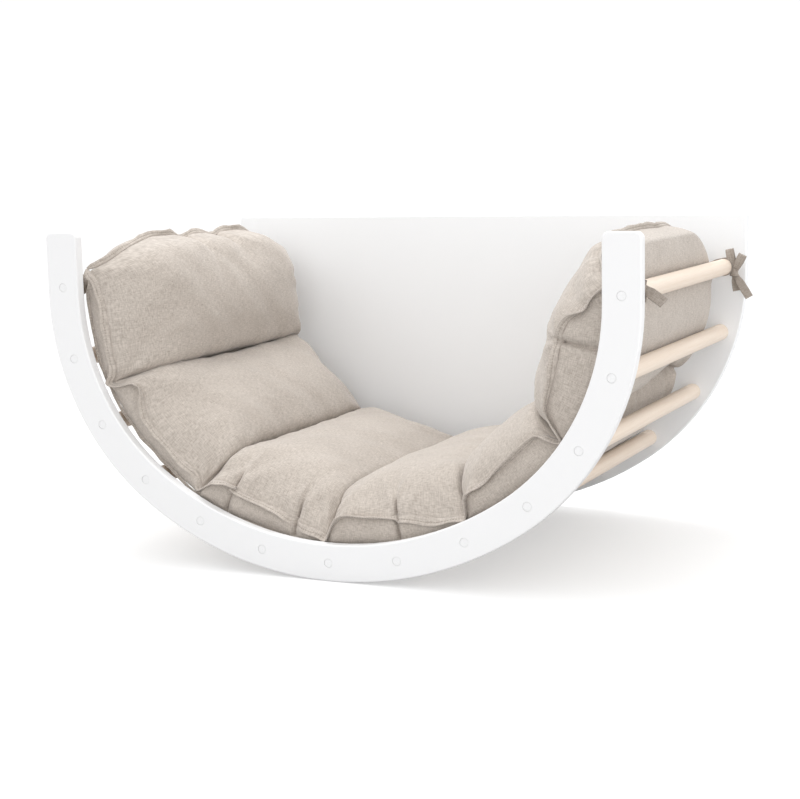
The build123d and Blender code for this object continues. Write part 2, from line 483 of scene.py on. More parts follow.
class Wardrobe:
    """Every finish of the cradle, made once."""

    def __init__(self) -> None:
        """Build the shared effects and then the materials."""
        weave, grain, edges = Weave().make(), Grain().make(), RubbedEdges().make()
        self.paint = PaintFinish().make("white_satin_paint", edges)
        # Painted light: the rear board takes a brighter, cooler copy of the ring's white paint. It lifts the
        # shade the board gets inside the arch and cancels the warm bounce light there.
        self.board_paint_lifted_against_shade = PaintFinish((0.88, 0.892, 0.905)).make("white_paint_lifted_against_shade", edges)
        self.wood = WoodFinish().make("oiled_rung_wood", grain, edges)
        self.linen = LinenFinish().make("heathered_linen", weave)
        tie = LinenFinish(light=(0.42, 0.37, 0.325), dark=(0.24, 0.205, 0.175), sheen=0.15)
        self.tie = tie.make("tie_linen_tape", weave)
        self.steel = PlainFinish((0.55, 0.55, 0.56), 0.35, metallic=1.0).make("zinc_plated_steel")
        self.cap = PlainFinish((0.86, 0.86, 0.865), 0.45).make("white_cap_plastic")
        # Painted light: the rear caps take a brighter copy of the same cap plastic, kept in step with the
        # board paint that is lifted against shade.
        self.rear_cap_lifted_against_shade = PlainFinish((0.96, 0.96, 0.965), 0.45).make("white_cap_plastic_lifted_against_shade")
        self.thread = PlainFinish((0.36, 0.315, 0.27), 0.8, texture=2500.0, relief=0.3).make("sewing_thread")


# ---------------------------------------------------------------------------------------------
# Geometry helpers
# ---------------------------------------------------------------------------------------------


def smooth_line(points: np.ndarray, steps: int) -> np.ndarray:
    """Run a smooth line through points.

    Args:
        points: the points, one a row.
        steps: stretches between two neighbouring points.

    Returns:
        The line's points.
    """
    knots = np.vstack([2 * points[0] - points[1], points, 2 * points[-1] - points[-2]])
    t = np.linspace(0, 1, steps, endpoint=False)[:, None]
    pieces = []
    for a, b, c, d in zip(knots, knots[1:], knots[2:], knots[3:]):
        bend = 2 * a - 5 * b + 4 * c - d
        turn = 3 * b - a - 3 * c + d
        pieces.append(0.5 * (2 * b + (c - a) * t + bend * t**2 + turn * t**3))
    return np.vstack([*pieces, points[-1:]])


def soft_step(x: np.ndarray, low: float, high: float) -> np.ndarray:
    """Go smoothly from 0 at low to 1 at high."""
    t = np.clip((x - low) / (high - low), 0, 1)
    return t * t * (3 - 2 * t)


def unit(rows: np.ndarray) -> np.ndarray:
    """Scale each row to a length of 1."""
    return rows / np.maximum(np.linalg.norm(rows, axis=-1, keepdims=True), 1e-9)


def near(x: np.ndarray, place: float, width: float) -> np.ndarray:
    """Make a soft peak: 1 at a place, falling to about a third a width away from it."""
    return np.exp(-(((x - place) / width) ** 2))


def run_along(path: np.ndarray) -> np.ndarray:
    """Measure each point's distance along a path."""
    steps = np.linalg.norm(np.diff(path, axis=0), axis=1)
    return np.concatenate([[0.0], np.cumsum(steps)])


def square_to(rows: np.ndarray, forward: np.ndarray) -> np.ndarray:
    """Turn each row square to a direction and scale it to a length of 1."""
    return unit(rows - forward * (rows * forward).sum(axis=1, keepdims=True))


def ripple(x: np.ndarray, seed: int, period: float) -> np.ndarray:
    """Add up three seeded waves into a slow irregular ripple.

    Args:
        x: places along the ripple in metres.
        seed: the number that fixes the waves' phases.
        period: the longest wave's length in metres.

    Returns:
        Values of about -1 to 1.
    """
    draw = np.random.default_rng(seed)
    total = np.zeros_like(x, dtype=float)
    for i in range(3):
        length = period / 1.7**i * draw.uniform(0.85, 1.15)
        total += np.sin(2 * np.pi * (x / length + draw.uniform())) / (i + 1.3)
    return total


def smooth_rows(rows: np.ndarray, times: int) -> np.ndarray:
    """Average each row with its neighbours a few times, with the first and last kept."""
    for _ in range(times):
        around = (np.roll(rows, 1, axis=0) + np.roll(rows, -1, axis=0)) / 2
        around[0], around[-1] = rows[0], rows[-1]
        rows = (rows + around) / 2
    return rows


def spread(length: float, pitch: float, fine: float, places: Sequence[float], reach: float) -> np.ndarray:
    """Divide a length so that the steps are finer near some places.

    Args:
        length: the length to divide.
        pitch: the step far from the places.
        fine: the step at the places.
        places: distances from the start.
        reach: how far the finer steps reach from a place.

    Returns:
        The dividing points, from 0 to length.
    """
    dense = np.linspace(0, length, 4000)
    close = np.zeros_like(dense)
    for place in places:
        close = np.maximum(close, near(dense, place, reach))
    rate = 1 / pitch + close * (1 / fine - 1 / pitch)
    count = np.concatenate([[0.0], np.cumsum((rate[1:] + rate[:-1]) / 2 * np.diff(dense))])
    steps = int(round(count[-1]))
    return np.interp(np.linspace(0, count[-1], steps + 1), count, dense)


@dataclass
class Shell:
    """A mesh being made: its corners, its faces and each face corner's place on the flat cloth."""

    points: list = field(default_factory=list)
    faces: list = field(default_factory=list)
    cloth: list = field(default_factory=list)

    def tube(self, rings: np.ndarray, along: np.ndarray, around: np.ndarray, capped: bool = True) -> int:
        """Join closed rings of points into a tube.

        Args:
            rings: points as (ring, place in ring, axis).
            along: each ring's distance along the cloth.
            around: distance round the ring, with one more value than it has points.
            capped: whether flat caps close the ends.

        Returns:
            The number of the tube's first corner.
        """
        first = len(self.points)
        count, size = rings.shape[:2]
        self.points.extend(rings.reshape(-1, 3).tolist())
        for j in range(count - 1):
            for k in range(size):
                after = (k + 1) % size
                low, high = first + j * size, first + (j + 1) * size
                self.faces.append((low + k, low + after, high + after, high + k))
                left, right = around[k], around[k + 1]
                u, v = along[j], along[j + 1]
                self.cloth.extend([(u, left), (u, right), (v, right), (v, left)])
        if capped:
            for start, backward in ((first, True), (first + (count - 1) * size, False)):
                rim = list(range(start, start + size))
                self.faces.append(tuple(reversed(rim)) if backward else tuple(rim))
                self.cloth.extend([(0.0, 0.0)] * size)
        return first

    def build(self, name: str, material: bpy.types.Material) -> bpy.types.Object:
        """Make the mesh object.

        Args:
            name: the piece's name.
            material: its finish.

        Returns:
            The new object, linked to the scene.
        """
        mesh = bpy.data.meshes.new(name)
        mesh.from_pydata(self.points, [], self.faces)
        mesh.polygons.foreach_set("use_smooth", [True] * len(mesh.polygons))
        layer = mesh.uv_layers.new(name="cloth")
        layer.data.foreach_set("uv", np.asarray(self.cloth, dtype=float).ravel())
        turned = bmesh.new()
        turned.from_mesh(mesh)
        bmesh.ops.recalc_face_normals(turned, faces=turned.faces)
        turned.to_mesh(mesh)
        turned.free()
        mesh.materials.append(material)
        mesh.update()
        piece = bpy.data.objects.new(name, mesh)
        bpy.context.scene.collection.objects.link(piece)
        return piece


def finish_piece(piece: bpy.types.Object, slot: Slot, *nodes: str) -> bpy.types.Object:
    """Hand a piece to the frame.

    Args:
        piece: the new piece.
        slot: the record's slot for the piece; not used.
        nodes: CAD nodes that it stands for.

    Returns:
        The piece.
    """
    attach(piece, BODY)
    if nodes:
        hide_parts(*nodes)
    LOG.info("%s: %d faces", piece.name, len(piece.data.polygons))
    return piece


@dataclass
class SeatCurve:
    """The curve in (x, z) that the mattress lies on, just inside the rungs.

    Distances run from the middle of the arch towards +X.
    """

    clearance: float = 0.0008
    rise: float = 0.20
    line: np.ndarray = field(init=False)
    inward: np.ndarray = field(init=False)
    distance: np.ndarray = field(init=False)
    axes: np.ndarray = field(init=False)
    radius: float = field(init=False)

    def __post_init__(self) -> None:
        """Trace the curve through the rungs' axes and move it in to their surface."""
        names = sorted(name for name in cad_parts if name.startswith("rung_"))
        boxes = [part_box(name) for name in names]
        self.axes = np.array([[(low[0] + high[0]) / 2, (low[2] + high[2]) / 2] for low, high in boxes])
        self.axes = self.axes[np.argsort(self.axes[:, 0])]
        self.radius = (boxes[0][1][0] - boxes[0][0][0]) / 2
        up = np.array([[0.0, self.rise]])
        route = np.vstack([self.axes[:1] + up, self.axes[:1] + up / 2, self.axes])
        route = np.vstack([route, self.axes[-1:] + up / 2, self.axes[-1:] + up])
        line = smooth_line(route, 24)
        along = unit(np.gradient(line, axis=0))
        self.inward = np.column_stack([-along[:, 1], along[:, 0]])
        self.line = line + self.inward * (self.radius + self.clearance)
        run = run_along(self.line)
        self.distance = run - np.interp(0.0, self.line[:, 0], run)

    def at(self, distance: np.ndarray, height: np.ndarray) -> np.ndarray:
        """Find points above the seat.

        Args:
            distance: distances along the curve.
            height: heights above it, towards the middle of the arch.

        Returns:
            The points as (x, z) in the last axis.
        """
        spot = [np.interp(distance, self.distance, self.line[:, i]) for i in (0, 1)]
        up = [np.interp(distance, self.distance, self.inward[:, i]) for i in (0, 1)]
        return np.stack([spot[0] + height * up[0], spot[1] + height * up[1]], axis=-1)

    def height_of(self, points: np.ndarray, distance: np.ndarray) -> np.ndarray:
        """Find how far points lie above the seat at given distances along it."""
        foot = self.at(distance, np.zeros_like(distance))
        top = self.at(distance, np.ones_like(distance))
        return ((points[..., [0, 2]] - foot) * (top - foot)).sum(axis=-1)

    def reach(self, height: float) -> float:
        """Distance along the curve at which it comes up to a height over the floor."""
        right = self.line[:, 0] > 0
        return float(np.interp(height, self.line[right, 1], self.distance[right]))


# ---------------------------------------------------------------------------------------------
# Mattress
# ---------------------------------------------------------------------------------------------


@dataclass(frozen=True)
class Chamber:
    """One stuffed chamber.

    Heights are above the seat, and tucks are places from 0 to 1 along the chamber or its end. Skew is
    how far the front of its first seam lies towards -X, downhill is the way that the pillow above that
    seam sags over it, and lean is how far its upper end edge stands out past the lower one, with
    corner_lean more at the end's corners. Round_off is how far those corners lie below the end's middle,
    and taper is how much of the crown is lost towards the chamber's far end.
    """

    node: str
    crown: float = 0.108
    first_corner: float = 0.050
    ridge: float = 0.042
    last_corner: float = 0.034
    lift: float = 0.004
    skew: float = 0.0
    downhill: float = 0.0
    lean: float = 0.0
    fullness: float = 1.12
    round_off: float = 0.052
    taper: float = 0.0
    corner_lean: float = 0.0
    tucks: tuple[float, ...] = ()
    end_tucks: tuple[float, ...] = ()


CHAMBERS = (
    Chamber(
        "cushion_left_top", 0.124, 0.030, 0.041, 0.034, lift=0.011, lean=0.010, round_off=0.070,
        corner_lean=0.022, end_tucks=(0.43, 0.62),
    ),
    Chamber("cushion_left_lower", 0.112, 0.062, 0.040, 0.036, lift=0.010, downhill=1),
    Chamber("cushion_seat_left", 0.108, 0.050, 0.044, 0.024, lift=0.005, downhill=1, tucks=(0.22, 0.74)),
    Chamber("cushion_seat_right", 0.108, 0.052, 0.046, 0.020, tucks=(0.5,)),
    Chamber("cushion_right_lower", 0.108, 0.048, 0.052, 0.052, downhill=-1),
    Chamber(
        "cushion_right_top", 0.123, 0.064, 0.078, 0.040, lift=0.006, skew=0.045, downhill=-0.3, lean=0.013,
        fullness=1.16, round_off=0.088, taper=0.48, corner_lean=0.020, tucks=(0.46,), end_tucks=(0.14,),
    ),
)
ENDS = ((-1, CHAMBERS[0]), (1, CHAMBERS[-1]))
FLANGE_OUTLINE = ((-0.25, 1.0), (0.2, 0.95), (0.45, 0.62), (0.7, 0.8), (0.92, 0.85), (1.0, 0.35))
SLOW_WAVES = ((0.16, 0.6, 0.0008), (0.095, -0.9, 0.0007), (0.061, 2.2, 0.0006))
SEWN = {
    "quality": 4,
    "mass": 0.1,
    "tension_stiffness": 25.0,
    "compression_stiffness": 6.0,
    "shear_stiffness": 6.0,
    "bending_stiffness": 0.4,
    "pin_stiffness": 10.0,
    "use_pressure": True,
}


@dataclass
class Mattress:
    """One long sewn mattress of six stuffed chambers, with a side wall and flanged seams round it."""

    seat: SeatCurve
    wardrobe: Wardrobe
    seam_shift: float = -0.012
    corner_place: float = 0.078
    sag: float = 0.009
    pinch: float = 0.0065
    pitch: float = 0.0105
    fine: float = 0.0032
    wall_rows: int = 5
    wall: float = 0.052
    end_height: float = 0.046
    end_drop: float = 0.005
    seam_height: float = 0.046
    rear_seam_height: float = 0.070
    rear_seam_foot: float = 0.028
    front_round: float = 0.080
    rear_round: float = 0.040
    top_width: float = 1.10
    bottom_width: float = 1.02
    seam_edge_height: float = 0.015
    corner_reach: float = 0.150
    seam_gap: float = 0.0015
    margin: float = 0.007
    unevenness: float = 0.0004
    rear_overlap: float = 0.006
    crease_reach: float = 0.013
    edge_reach: float = 0.030
    across_pitch: float = 0.0125
    across_fine: float = 0.0052
    rear_rise: float = 0.012
    belly: float = 0.004
    sag_reach: float = 0.022
    sag_height: float = 0.040
    end_bend: float = 0.050
    end_reach: float = 0.160
    skew_reach: float = 0.090
    tuck_depth: float = 0.016
    tuck_width: float = 0.0042
    end_tuck_width: float = 0.011
    tuck_reach: float = 0.016
    flare: float = 0.008
    flare_width: float = 0.012
    pinch_reach: float = 0.014
    pinch_place: float = 0.012
    pinch_height: float = 0.030
    skin: float = 0.0012
    ring_room: float = 0.006
    corner_fan: float = 0.0075
    end_fan: float = 0.0050
    fan_reach: float = 0.025
    ruffle: float = 0.0018
    ruffle_below: float = 0.0038
    pressure: float = 12.0
    frames: int = 28
    limit: float = 0.050
    flange_width: float = 0.0105
    flange_thickness: float = 0.0030
    end_width: float = 0.0085
    lower_width: float = 0.004
    sway: float = 0.35
    end_sway: float = 0.40
    lower_sway: float = 0.20
    ear_place: float = 0.023
    peak: float = 0.8
    peak_width: float = 0.0065
    stitch_pitch: float = 0.0046
    stitch_length: float = 0.0032
    thread_radius: float = 0.00055

    def __post_init__(self) -> None:
        """Read the mattress's place from its solids and lay out its grid."""
        boxes = [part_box(chamber.node) for chamber in CHAMBERS]
        self.front = boxes[0][0][1] + self.margin
        self.rear = boxes[0][1][1] + self.rear_overlap
        self.ring_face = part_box("front_arch")[1][1]
        self.end = self.seat.reach(boxes[0][1][2] - self.end_drop)
        step = 2 * self.end / len(CHAMBERS)
        inner = [-self.end + i * step + self.seam_shift for i in range(1, len(CHAMBERS))]
        self.seams = np.array([-self.end, *inner, self.end])
        creases = list(self.seams)
        for chamber, start, stop in zip(CHAMBERS, self.seams, self.seams[1:]):
            creases += [start + tuck * (stop - start) for tuck in chamber.tucks]
        places = [crease + self.end for crease in creases]
        self.run = spread(2 * self.end, self.pitch, self.fine, places, self.crease_reach) - self.end
        for crease in creases:
            self.run[np.argmin(abs(self.run - crease))] = crease
        width = self.rear - self.front
        edges = (0.0, width)
        self.cross = self.front + spread(width, self.across_pitch, self.across_fine, edges, self.edge_reach)
        self.index = np.clip(np.searchsorted(self.seams, self.run, side="right") - 1, 0, len(CHAMBERS) - 1)
        start, stop = self.seams[self.index], self.seams[self.index + 1]
        self.share = (self.run - start) / (stop - start)
        self.tuck_rows = self.rows_at(creases[len(self.seams):])
        self.seam_rows = self.rows_at(self.seams[1:-1])

    def rows_at(self, places: Sequence[float]) -> list[int]:
        """Find the grid rows at distances along the seat."""
        return [int(np.argmin(abs(self.run - place))) for place in places]

    def crossing(self, share: float) -> float:
        """Find the place across the mattress at a share of its width."""
        return self.front + share * (self.rear - self.front)

    def end_share(self, sign: int, reach: float) -> np.ndarray:
        """Tell how near each grid row is to an end, from 0 to 1.

        Args:
            sign: -1 for the first end and 1 for the last.
            reach: how far from the end it falls to 0.

        Returns:
            The shares as a column.
        """
        return np.clip(1 - (self.end - sign * self.run)[:, None] / reach, 0, 1) ** 2

    def each(self, name: str) -> np.ndarray:
        """Read one size of the chamber that each grid row belongs to."""
        return np.array([getattr(chamber, name) for chamber in CHAMBERS])[self.index]

    def ends(self) -> tuple[np.ndarray, np.ndarray]:
        """Tell the halves of the end chambers that run to the mattress's ends.

        Returns:
            Masks of the rows of the first and of the last half chamber.
        """
        first = (self.index == 0) & (self.share < 0.5)
        last = (self.index == len(CHAMBERS) - 1) & (self.share >= 0.5)
        return first, last

    def ridge_heights(self, front: bool) -> np.ndarray:
        """Shape the upper side seam: low at the seams, with a corner after each and before the next.

        Args:
            front: whether it is the front seam, whose corners stand higher.

        Returns:
            The seam's height above the seat at each grid row.
        """
        names = ("first_corner", "ridge", "last_corner") if front else ("ridge",) * 3
        first, middle, last = (self.each(name) + (0.0 if front else self.rear_rise) for name in names)
        corner, t = self.corner_place, self.share
        heights = np.where(
            t < 0.5,
            first + (middle - first) * soft_step(t, corner, 0.42),
            middle + (last - middle) * soft_step(t, 0.52, 1 - corner),
        )
        low = np.full(len(self.run), self.seam_edge_height if front else self.rear_seam_height)
        start_end, stop_end = self.ends()
        low[start_end | stop_end] = self.end_height * (0.25 if front else 0.7)
        rise = soft_step(t, 0.0, corner) * (1 - soft_step(t, 1 - corner, 1.0))
        return low + (heights - low) * rise

    def surface(self, top: bool, y: np.ndarray) -> np.ndarray:
        """Shape the upper or lower panel before it is stuffed.

        Args:
            top: whether it is the upper panel.
            y: places across the mattress.

        Returns:
            Heights above the seat as (grid row, place across).
        """
        t = self.share
        start_end, stop_end = self.ends()
        open_end = start_end | stop_end
        bulge = (1 - abs(2 * t - 1) ** 3) ** 0.24
        near_front = np.sin(np.clip((y - self.front) / self.front_round, 0, 1) * np.pi / 2) ** 0.7
        near_rear = np.sin(np.clip((self.rear - y) / self.rear_round, 0, 1) * np.pi / 2) ** 0.7
        share = soft_step(y, self.front, self.rear)
        seam_edge = self.seam_edge_height + (self.rear_seam_height - self.seam_edge_height) * share
        inside = np.minimum(near_front, near_rear)
        seam_line = seam_edge + (np.maximum(self.seam_height, seam_edge) - seam_edge) * inside
        if top:
            low = np.where(open_end, self.end_height, self.seam_height)
            bulge = bulge * (1 - self.each("taper") * soft_step(t, 0.45, 1.0))
            middle = low + (self.each("crown") - low) * bulge
            front, rear = self.ridge_heights(True)[:, None], self.ridge_heights(False)[:, None]
            edge = front + (rear - front) * share
            heights = edge + (middle[:, None] - edge) * inside
            heights[self.seam_rows] = seam_line
            return heights + self.seam_gap
        belly = np.sin(np.pi * np.clip(t, 0, 1)) ** 0.30
        belly[open_end] = 1.0
        raised = self.each("lift")[:, None] * (1 - soft_step(y, self.front, self.front + 0.07))
        seam_line = seam_line - (self.rear_seam_height - self.rear_seam_foot) * (1 - near_rear)
        return (seam_line - self.seam_gap) * (1 - belly[:, None]) + raised * belly[:, None]

    def rings(self) -> tuple[np.ndarray, np.ndarray, np.ndarray, np.ndarray]:
        """Lay out the closed cross sections, from the front upper seam over the top and round.

        Returns:
            Points as (grid row, place in ring, axis), distances along the cloth and round it,
            and the same points on the flat, unfilled cloth.
        """
        y, rows = self.cross, self.wall_rows
        top, bottom = self.surface(True, y), self.surface(False, y)
        n, levels = len(y), np.linspace(0, 1, rows + 1)[1:-1]
        belly = self.belly * np.sin(np.pi * levels)
        rear_side = top[:, -1:] + (bottom[:, -1:] - top[:, -1:]) * levels
        front_side = bottom[:, :1] + (top[:, :1] - bottom[:, :1]) * levels
        width = np.tile(np.concatenate([y, y[-1] + belly, y[::-1], y[0] - belly]), (len(self.run), 1))
        height = np.hstack([top, rear_side, bottom[:, ::-1], front_side])
        self.top_row = np.arange(n)
        self.bottom_row = np.arange(n + rows - 1, 2 * n + rows - 1)
        slide = self.drop(width)
        slide[:, :n] -= self.overhang(top)
        spot = self.seat.at(self.run[:, None] - slide, height)
        points = np.stack([spot[..., 0], width, spot[..., 1]], axis=-1)
        full = np.concatenate([[0.0], np.cumsum(np.diff(self.run) * self.each("fullness")[1:])])
        upper, lower = (y - y.mean()) * self.top_width, (y - y.mean()) * self.bottom_width
        rear_wall = upper[-1] + (lower[-1] - upper[-1]) * (1 - levels)
        front_wall = lower[0] + (upper[0] - lower[0]) * levels
        flat_width = np.concatenate([upper, rear_wall[::-1], lower[::-1], front_wall])
        flat_height = np.concatenate(
            [np.full(n, self.wall), self.wall * (1 - levels), np.zeros(n), self.wall * levels]
        )
        flat = np.empty_like(points)
        flat[..., 0] = full[:, None]
        flat[..., 1], flat[..., 2] = flat_width, flat_height
        sides = [np.diff(flat, append=flat[0]) for flat in (flat_width, flat_height)]
        steps = np.hypot(*sides)
        around = np.concatenate([[0.0], np.cumsum(steps)])
        return points, full, around, flat

    def overhang(self, top: np.ndarray) -> np.ndarray:
        """Let the upper panel sag downhill over the cross seams, and lean out at the ends.

        Args:
            top: the upper panel's heights.

        Returns:
            How far each of its points moves along the seat, towards +X where it is positive.
        """
        move = np.zeros_like(top)
        for chamber, seam, row in zip(CHAMBERS[1:], self.seams[1:], self.seam_rows):
            close = near(self.run, seam, self.sag_reach)[:, None]
            move += chamber.downhill * self.sag * close * np.clip((top - top[row]) / self.sag_height, 0, 1)
        for sign, chamber in ENDS:
            lean = chamber.lean + chamber.corner_lean * self.corner_share(self.cross)
            move += sign * lean * self.end_share(sign, self.end_bend)
        return move

    def corner_share(self, y: np.ndarray) -> np.ndarray:
        """Tell how near places across the mattress are to its front or rear edge, from 0 to 1."""
        side = np.minimum(y - self.front, self.rear - y)
        return (1 - np.sin(np.clip(side / self.corner_reach, 0, 1) * np.pi / 2)) ** 1.15

    def drop(self, y: np.ndarray) -> np.ndarray:
        """Round the mattress's ends off towards its corners and pull them down at the end tucks.

        Args:
            y: places across the mattress as (grid row, place in ring).

        Returns:
            How far each point moves along the seat, towards -X where it is positive.
        """
        corner = self.corner_share(y)
        total = np.zeros_like(y)
        for chamber, seam in zip(CHAMBERS, self.seams):
            close = near(self.run, seam, self.skew_reach)[:, None]
            total += chamber.skew * close * (1 - soft_step(y, self.front, self.rear))
        for sign, chamber in ENDS:
            pull = chamber.round_off * corner * self.end_share(sign, self.end_reach)
            for tuck in chamber.end_tucks:
                close = near(y, self.crossing(tuck), self.end_tuck_width)
                pull = pull + self.tuck_depth * close * self.end_share(sign, self.end_bend)
            total += sign * pull
        return total

    def shape_edges(self, points: np.ndarray) -> None:
        """Pull the front and rear seams in at the tucks and flare the corners beside the cross seams."""
        wall = [self.top_row[0], *range(points.shape[1] - self.wall_rows + 1, points.shape[1])]
        reach = near(self.cross, self.cross[0], self.tuck_reach)
        for row in self.tuck_rows:
            close = near(self.run, self.run[row], self.tuck_width)[:, None]
            points[:, self.top_row, 1] += self.tuck_depth * close * reach[None, :]
            points[:, wall[1:], 1] += self.tuck_depth * close * 0.8
        for row in self.seam_rows:
            close = near(self.run, self.run[row] + self.corner_place * 0.22, self.flare_width)
            points[:, wall, 1] -= self.flare * close[:, None]

    def pins(self, shape: tuple[int, int]) -> np.ndarray:
        """Say how firmly each point is held while the cloth fills.

        Args:
            shape: numbers of grid rows and of points in a ring.

        Returns:
            Weights from 0 to 1.
        """
        held = np.zeros(shape)
        top, bottom = self.top_row, self.bottom_row
        held[:, [top[0], top[-1]]] = 0.06
        held[:, [bottom[0], bottom[-1]]] = 0.12
        held[np.ix_([0, shape[0] - 1], bottom)] = 0.9
        held[np.ix_([0, shape[0] - 1], top)] = 0.25
        for row, (_, chamber) in zip((0, shape[0] - 1), ENDS):
            for tuck in chamber.end_tucks:
                held[row, top[np.argmin(abs(self.cross - self.crossing(tuck)))]] = 0.95
        for row in self.seam_rows:
            held[row, :] = 1.0
        for row in self.tuck_rows:
            held[row, top[0]] = 0.95
            held[row, top[1:4]] = 0.5
            held[row, bottom[-1] + 1 :] = 0.8
        return held

    def rung_forms(self) -> bpy.types.Object:
        """Make plain round bars for the cloth to lie on, only for the simulation."""
        form = Shell()
        turns = np.linspace(0, 2 * np.pi, 20, endpoint=False)
        ys = np.linspace(self.front - 0.03, self.rear + 0.03, 12)
        for x, z in self.seat.axes:
            rings = np.empty((len(ys), len(turns), 3))
            rings[..., 0] = x + self.seat.radius * np.cos(turns)
            rings[..., 1] = ys[:, None]
            rings[..., 2] = z + self.seat.radius * np.sin(turns)
            form.tube(rings, ys, np.arange(len(turns) + 1.0))
        bars = form.build("bars_for_cloth", self.wardrobe.wood)
        bars.modifiers.new("rest", "COLLISION")
        bars.collision.thickness_outer = 0.001
        return bars

    def fill(self, points: np.ndarray, flat: np.ndarray) -> np.ndarray:
        """Stuff the cloth: blow it up with its seams held, lying on the rungs.

        Args:
            points: where the cloth's points start.
            flat: the same points on the flat cloth, which gives every thread its length.

        Returns:
            Where the points end up.
        """
        form = Shell()
        form.tube(points, np.zeros(points.shape[0]), np.zeros(points.shape[1] + 1))
        body = form.build("cloth_form", self.wardrobe.linen)
        body.shape_key_add(name="Basis")
        key = body.shape_key_add(name="flat")
        key.data.foreach_set("co", flat.reshape(-1))
        group = body.vertex_groups.new(name="held")
        for number, weight in enumerate(self.pins(points.shape[:2]).ravel()):
            if weight > 0:
                group.add([number], float(weight), "REPLACE")
        bars = self.rung_forms()
        cloth = body.modifiers.new("stuffing", "CLOTH")
        rules = cloth.settings
        for name, value in SEWN.items():
            setattr(rules, name, value)
        rules.uniform_pressure_force = self.pressure
        rules.effector_weights.gravity = 0.0
        rules.vertex_group_mass = group.name
        rules.rest_shape_key = key
        cloth.collision_settings.distance_min = 0.0015
        cloth.collision_settings.use_self_collision = False
        cloth.point_cache.frame_start = 1
        cloth.point_cache.frame_end = self.frames
        scene = bpy.context.scene
        for number in range(1, self.frames + 1):
            scene.frame_set(number)
        view = bpy.context.evaluated_depsgraph_get()
        mesh = body.evaluated_get(view).data
        filled = np.empty(len(mesh.vertices) * 3)
        mesh.vertices.foreach_get("co", filled)
        scene.frame_set(1)
        for form in (body, bars):
            bpy.data.objects.remove(form, do_unlink=True)
        return filled.reshape(points.shape)

    def settle(self, start: np.ndarray, filled: np.ndarray) -> np.ndarray:
        """Keep the filled cloth within reach of its start and clear of the ring and the rungs.

        Args:
            start: where the points started.
            filled: where the simulation left them.

        Returns:
            Their final places.
        """
        move = filled - start
        size = np.linalg.norm(move, axis=-1, keepdims=True)
        shrink = np.where(size > 1e-9, self.limit * np.tanh(size / self.limit) / np.maximum(size, 1e-9), 1.0)
        points = start + move * shrink
        wall, least = self.ring_face + self.skin, self.ring_room
        room = points[..., 1] - wall
        squeezed = least * np.exp((np.minimum(room, least) - least) / least)
        points[..., 1] = wall + np.where(room < least, squeezed, room)
        for x, z in self.seat.axes:
            away = points[..., [0, 2]] - (x, z)
            gap = np.linalg.norm(away, axis=-1, keepdims=True)
            need = self.seat.radius + self.skin
            out = (x, z) + away / np.maximum(gap, 1e-9) * need
            points[..., [0, 2]] = np.where(gap < need, out, points[..., [0, 2]])
        return points

    def shut_valleys(self, points: np.ndarray) -> None:
        """Draw neighbouring pillows together over the cross seams, so that their valleys close."""
        run, level = self.run[:, None], np.zeros_like(self.run)
        height = self.seat.height_of(points, np.broadcast_to(run, points.shape[:2]))
        ahead = self.seat.at(self.run + 0.001, level)
        ahead = unit(ahead - self.seat.at(self.run - 0.001, level))
        raised = np.clip((height - self.seam_height - 0.004) / self.pinch_height, 0, 1)
        for seam in self.run[self.seam_rows]:
            away = run - seam
            shut = -np.sign(away) * self.pinch * near(abs(away), self.pinch_place, self.pinch_reach) * raised
            points[..., 0] += shut * ahead[:, :1]
            points[..., 2] += shut * ahead[:, 1:]

    def fans(self) -> list[tuple[float, float, float]]:
        """List where small creases fan out: the seams' ends, the tucks and the mattress's ends.

        Returns:
            Each fan's distance along the seat, its place across and its strength.
        """
        edges = (self.front, self.rear)
        fans = [(self.run[row], edge, self.corner_fan) for row in self.seam_rows for edge in edges]
        fans += [(self.run[row], self.front, self.corner_fan) for row in self.tuck_rows]
        for sign, chamber in ENDS:
            for place in (0.0, *chamber.end_tucks, 1.0):
                fans.append((sign * self.end, self.crossing(place), self.end_fan))
        return fans

    def gather(self, points: np.ndarray) -> np.ndarray:
        """Add the small gathers that the stitching pulls into the cloth.

        Args:
            points: the mattress's points.

        Returns:
            The points with ruffles along the cross seams and fans at their ends and at the tucks.
        """
        along, across = np.gradient(points, axis=0), np.roll(points, -1, axis=1) - np.roll(points, 1, axis=1)
        outward = -unit(np.cross(along, across))
        self.shut_valleys(points)
        y, run = points[..., 1], self.run[:, None]
        size = np.zeros_like(y)
        below = np.zeros(points.shape[1])
        below[self.bottom_row] = 1.0
        for number, seam in enumerate(self.run[self.seam_rows]):
            away = abs(run - seam)
            close = np.exp(-away / 0.017) * (1 - np.exp(-away / 0.005))
            waves = np.where(run < seam, ripple(y, 60 + number, 0.034), ripple(y, 70 + number, 0.041))
            size += close * waves * (self.ruffle + self.ruffle_below * below)
        draw = np.random.default_rng(21)
        for place, edge, strength in self.fans():
            reach = np.hypot(run - place, y - edge)
            turn = np.arctan2(run - place, y - edge)
            fan = np.sin(draw.uniform(6.0, 8.5) * turn + draw.uniform(0, 2 * np.pi))
            size += strength * fan * reach / 0.03 * np.exp(-reach / self.fan_reach) * (1 - below * 0.5)
        for length, slant, height in SLOW_WAVES:
            phase = (run * math.cos(slant) + y * math.sin(slant)) / length
            size += height * np.sin(2 * np.pi * (phase + draw.uniform())) * (1 - 0.6 * below)
        return points + outward * size[..., None]

